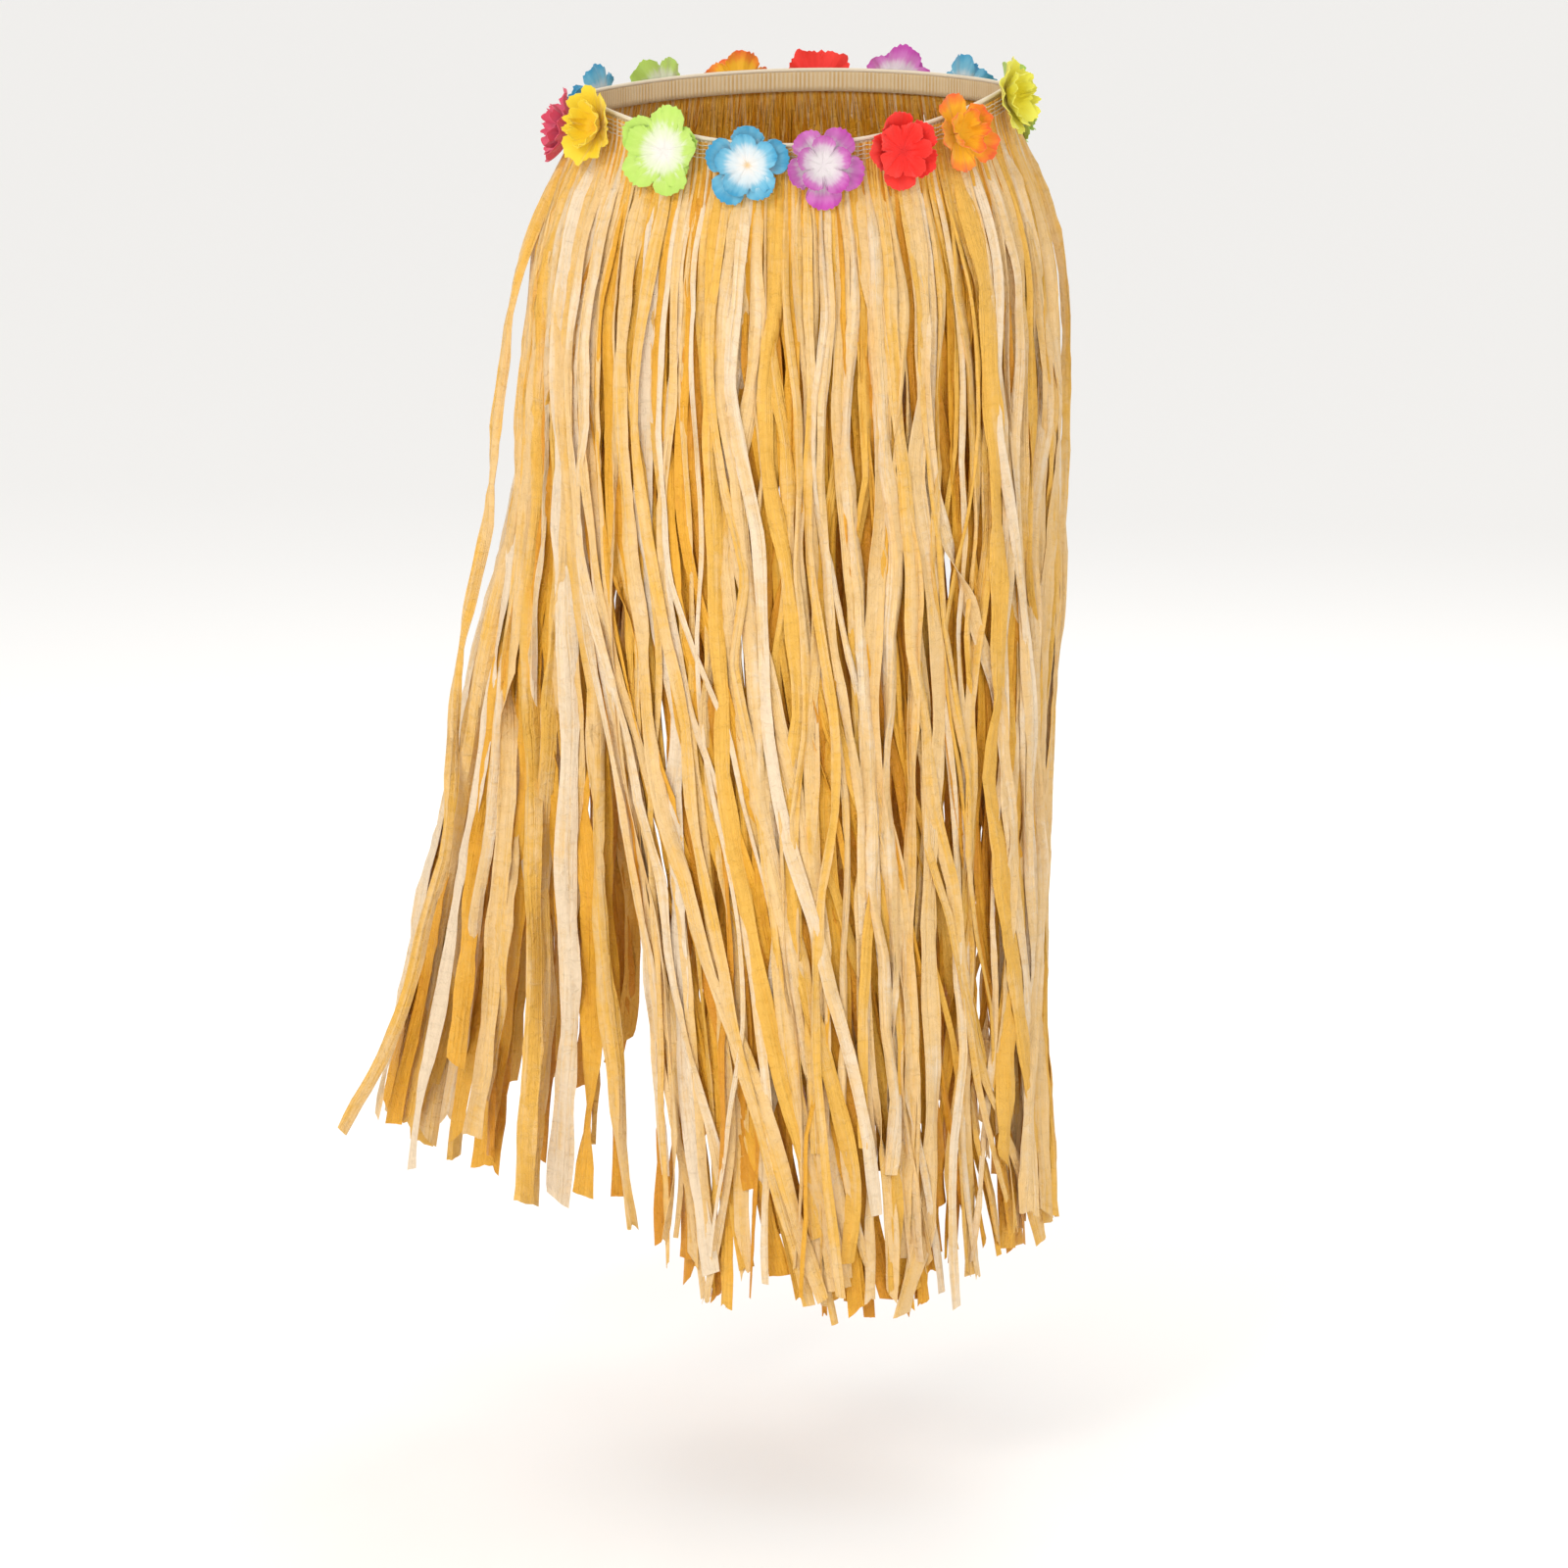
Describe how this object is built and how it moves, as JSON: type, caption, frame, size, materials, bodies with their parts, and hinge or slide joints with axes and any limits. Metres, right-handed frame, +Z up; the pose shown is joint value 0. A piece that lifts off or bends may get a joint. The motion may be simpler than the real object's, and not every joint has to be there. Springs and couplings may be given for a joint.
{
  "type": "grass skirt",
  "caption": "Long raffia hula skirt, worn low on the hips in mid step, hanging round a hollow from a ribbed elastic waistband trimmed with cloth flowers.",
  "frame": {"origin": "centre of the waistband's ellipse, at the height of the band's sides, where the wearer's hips hold it", "axes": "+Z up, -Y towards the front, +X towards the right-hand side as seen from the front"},
  "size_m": [0.5268, 0.4058, 0.8584],
  "materials": {
    "elastic": "matt ribbed cream elastic",
    "raffia": "satin crinkled raffia, pale straw to golden",
    "petals_pink": "matt woven cloth, pink to red",
    "petals_yellow": "matt woven cloth, lemon to deep yellow",
    "petals_green": "matt woven cloth, white centre to lime",
    "petals_blue": "matt woven cloth, white centre to blue",
    "petals_purple": "matt woven cloth, white centre to magenta",
    "petals_red": "matt woven cloth, solid red",
    "petals_orange": "matt woven cloth, yellow centre to orange"
  },
  "bodies": {
    "root": {"waistband": "elastic", "raffia_lock_01": "raffia", "raffia_lock_02": "raffia", "raffia_lock_03": "raffia", "raffia_lock_04": "raffia", "raffia_lock_05": "raffia", "raffia_lock_06": "raffia", "raffia_lock_07": "raffia", "raffia_lock_08": "raffia", "raffia_lock_09": "raffia", "raffia_lock_10": "raffia", "raffia_lock_11": "raffia", "raffia_lock_12": "raffia", "raffia_lock_13": "raffia", "raffia_lock_14": "raffia", "raffia_lock_15": "raffia", "raffia_lock_16": "raffia", "raffia_lock_17": "raffia", "raffia_lock_18": "raffia", "raffia_lock_19": "raffia", "raffia_lock_20": "raffia", "raffia_lock_21": "raffia", "raffia_lock_22": "raffia", "raffia_lock_23": "raffia", "raffia_lock_24": "raffia", "raffia_lock_25": "raffia", "raffia_lock_26": "raffia", "raffia_lock_27": "raffia", "stray_strand_left": "raffia", "stray_strand_right": "raffia", "flower_01_back_petals": "petals_pink", "flower_01_front_petals": "petals_pink", "flower_02_back_petals": "petals_yellow", "flower_02_front_petals": "petals_yellow", "flower_03_back_petals": "petals_green", "flower_03_front_petals": "petals_green", "flower_04_back_petals": "petals_blue", "flower_04_front_petals": "petals_blue", "flower_05_back_petals": "petals_purple", "flower_05_front_petals": "petals_purple", "flower_06_back_petals": "petals_red", "flower_06_front_petals": "petals_red", "flower_07_back_petals": "petals_orange", "flower_07_front_petals": "petals_orange", "flower_08_back_petals": "petals_yellow", "flower_08_front_petals": "petals_yellow", "flower_09_back_petals": "petals_green", "flower_09_front_petals": "petals_green", "flower_10_back_petals": "petals_blue", "flower_10_front_petals": "petals_blue", "flower_11_back_petals": "petals_purple", "flower_11_front_petals": "petals_purple", "flower_12_back_petals": "petals_red", "flower_12_front_petals": "petals_red", "flower_13_back_petals": "petals_orange", "flower_13_front_petals": "petals_orange", "flower_14_back_petals": "petals_green", "flower_14_front_petals": "petals_green", "flower_15_back_petals": "petals_blue", "flower_15_front_petals": "petals_blue"}
  },
  "joints": []
}
